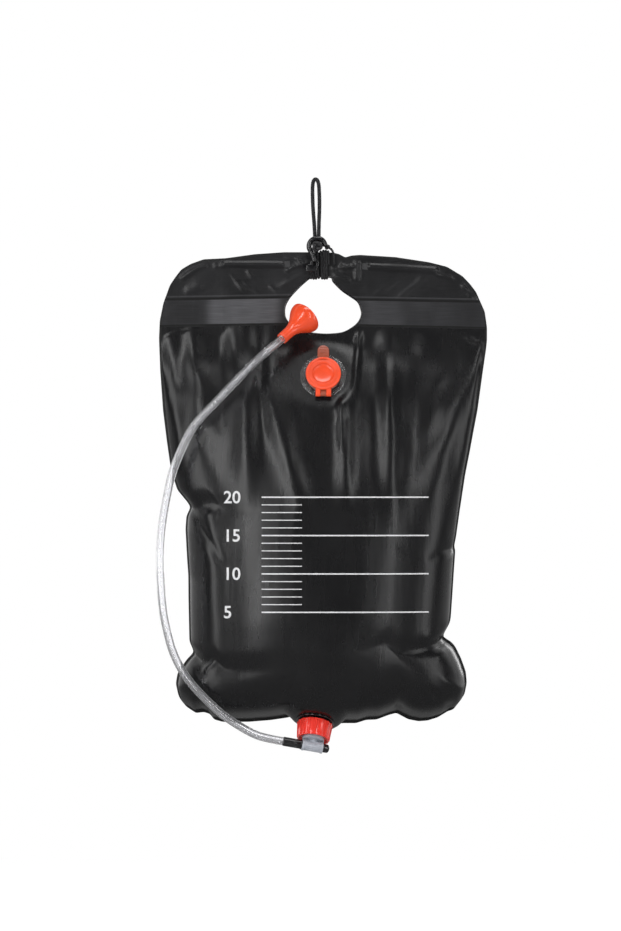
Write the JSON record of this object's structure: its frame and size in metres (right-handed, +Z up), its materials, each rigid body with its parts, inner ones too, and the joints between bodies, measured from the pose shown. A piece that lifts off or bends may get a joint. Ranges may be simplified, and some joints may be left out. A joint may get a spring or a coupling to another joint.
{
  "type": "camp shower bag",
  "caption": "Hanging camp shower bag: welded film reservoir with a handle hole, hinged filler lid, cord loop and hook, screw-on outlet valve, hose and shower head.",
  "frame": {"origin": "inner top of the cord loop that the bag hangs by", "axes": "+Z up along the hanging bag, +Y away from the side with the filler and the outlet, +X to the right of someone who looks at that side"},
  "size_m": [0.4031, 0.1498, 0.7002],
  "materials": {
    "black_film": "semi-gloss flexible film",
    "black_plastic": "satin moulded",
    "black_cord": "braided cord",
    "orange_plastic": "satin moulded",
    "red_plastic": "gloss moulded",
    "grey_plastic": "cloudy moulded",
    "clear_film": "clear flexible film",
    "clear_hose": "clear flexible tube",
    "white_rubber": "moulded seal",
    "batten_plastic": "extruded strip"
  },
  "bodies": {
    "hanger": {"hang_loop": "black_cord", "loop_knot": "black_cord"},
    "bag": {"hook": "black_plastic", "hem_lashing": "black_cord", "cord_knot": "black_cord", "knot_tail": "black_cord", "front_panel": "black_film", "back_panel": "black_film", "hem_batten_left": "batten_plastic", "hem_batten_right": "batten_plastic", "filler_flange": "clear_film", "filler_seat": "orange_plastic", "lid_hinge_pin": "orange_plastic", "outlet_spout": "black_plastic"},
    "lid": {"filler_lid": "orange_plastic", "lid_seal": "white_rubber"},
    "valve": {"valve_body": "grey_plastic", "outlet_gasket": "white_rubber"},
    "collar": {"collar_nut": "red_plastic"},
    "spool": {"valve_spool": "black_plastic", "spool_seal_left": "white_rubber", "spool_seal_middle": "white_rubber", "spool_seal_right": "white_rubber", "spool_grip": "black_plastic", "hose": "clear_hose", "shower_head": "orange_plastic", "spray_plate": "orange_plastic"}
  },
  "joints": [
    {"name": "bag_swing", "type": "hinge", "parent": "hanger", "child": "bag", "pos_m": [0.0018, -0.009, -0.08], "axis": [0, 1, 0], "range_deg": [-20, 20]},
    {"name": "lid_hinge", "type": "hinge", "parent": "bag", "child": "lid", "pos_m": [0.0094, -0.03425, -0.26068], "axis": [1, 0, 0], "range_deg": [0, 150]},
    {"name": "valve_drop", "type": "slide", "parent": "bag", "child": "valve", "axis": [-0.1105, -0.4226, -0.8996], "range_m": [0, 0.009]},
    {"name": "collar_turn", "type": "hinge", "parent": "valve", "child": "collar", "pos_m": [-0.0004, -0.03, -0.6584], "axis": [-0.1105, -0.4226, -0.8996], "range_deg": [0, 720]},
    {"name": "spool_slide", "type": "slide", "parent": "valve", "child": "spool", "axis": [-0.9787, -0.1116, 0.1726], "range_m": [0, 0.008]}
  ],
  "couplings": [
    {"joint": "collar_turn", "follows": "valve_drop", "rad_per_m": 1396.3}
  ]
}
